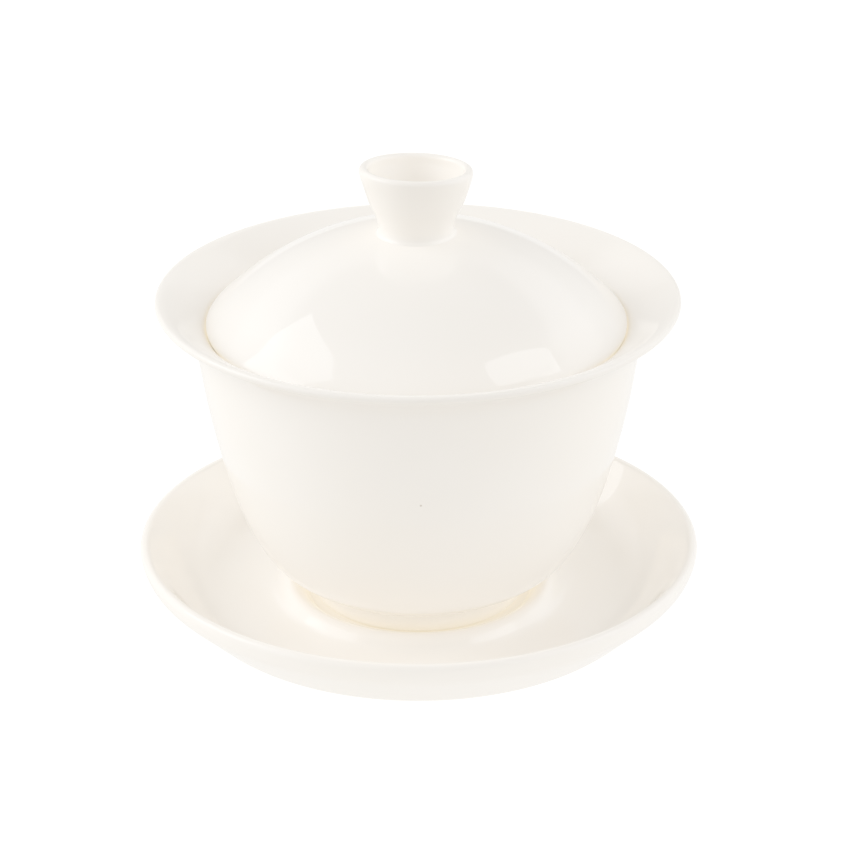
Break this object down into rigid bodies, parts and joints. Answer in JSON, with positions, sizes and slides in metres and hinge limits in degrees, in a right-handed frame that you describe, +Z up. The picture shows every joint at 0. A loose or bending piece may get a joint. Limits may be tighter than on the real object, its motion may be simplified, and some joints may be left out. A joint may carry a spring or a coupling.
{
  "type": "gaiwan",
  "caption": "Lidded porcelain tea bowl with a flared rim and a hollow knob on its domed lid, standing in the ridged well of a shallow saucer.",
  "frame": {"origin": "on the table under the axis that the saucer, bowl and lid share, at the centre of the saucer's foot ring", "axes": "+Z up along that axis; the pieces are turned, so X and Y are any two level directions"},
  "size_m": [0.1096, 0.1096, 0.0942],
  "materials": {
    "saucer_glaze": "glossy ivory-white porcelain glaze",
    "bowl_glaze": "glossy ivory-white porcelain glaze",
    "lid_glaze": "glossy ivory-white porcelain glaze"
  },
  "bodies": {
    "saucer": {"saucer": "saucer_glaze"},
    "bowl": {"bowl": "bowl_glaze"},
    "lid": {"lid": "lid_glaze"}
  },
  "joints": [
    {"name": "bowl_lift", "type": "slide", "parent": "saucer", "child": "bowl", "axis": [0, 0, 1], "range_m": [0, 0.03]},
    {"name": "lid_lift", "type": "slide", "parent": "bowl", "child": "lid", "axis": [0, 0, 1], "range_m": [0, 0.04]}
  ]
}
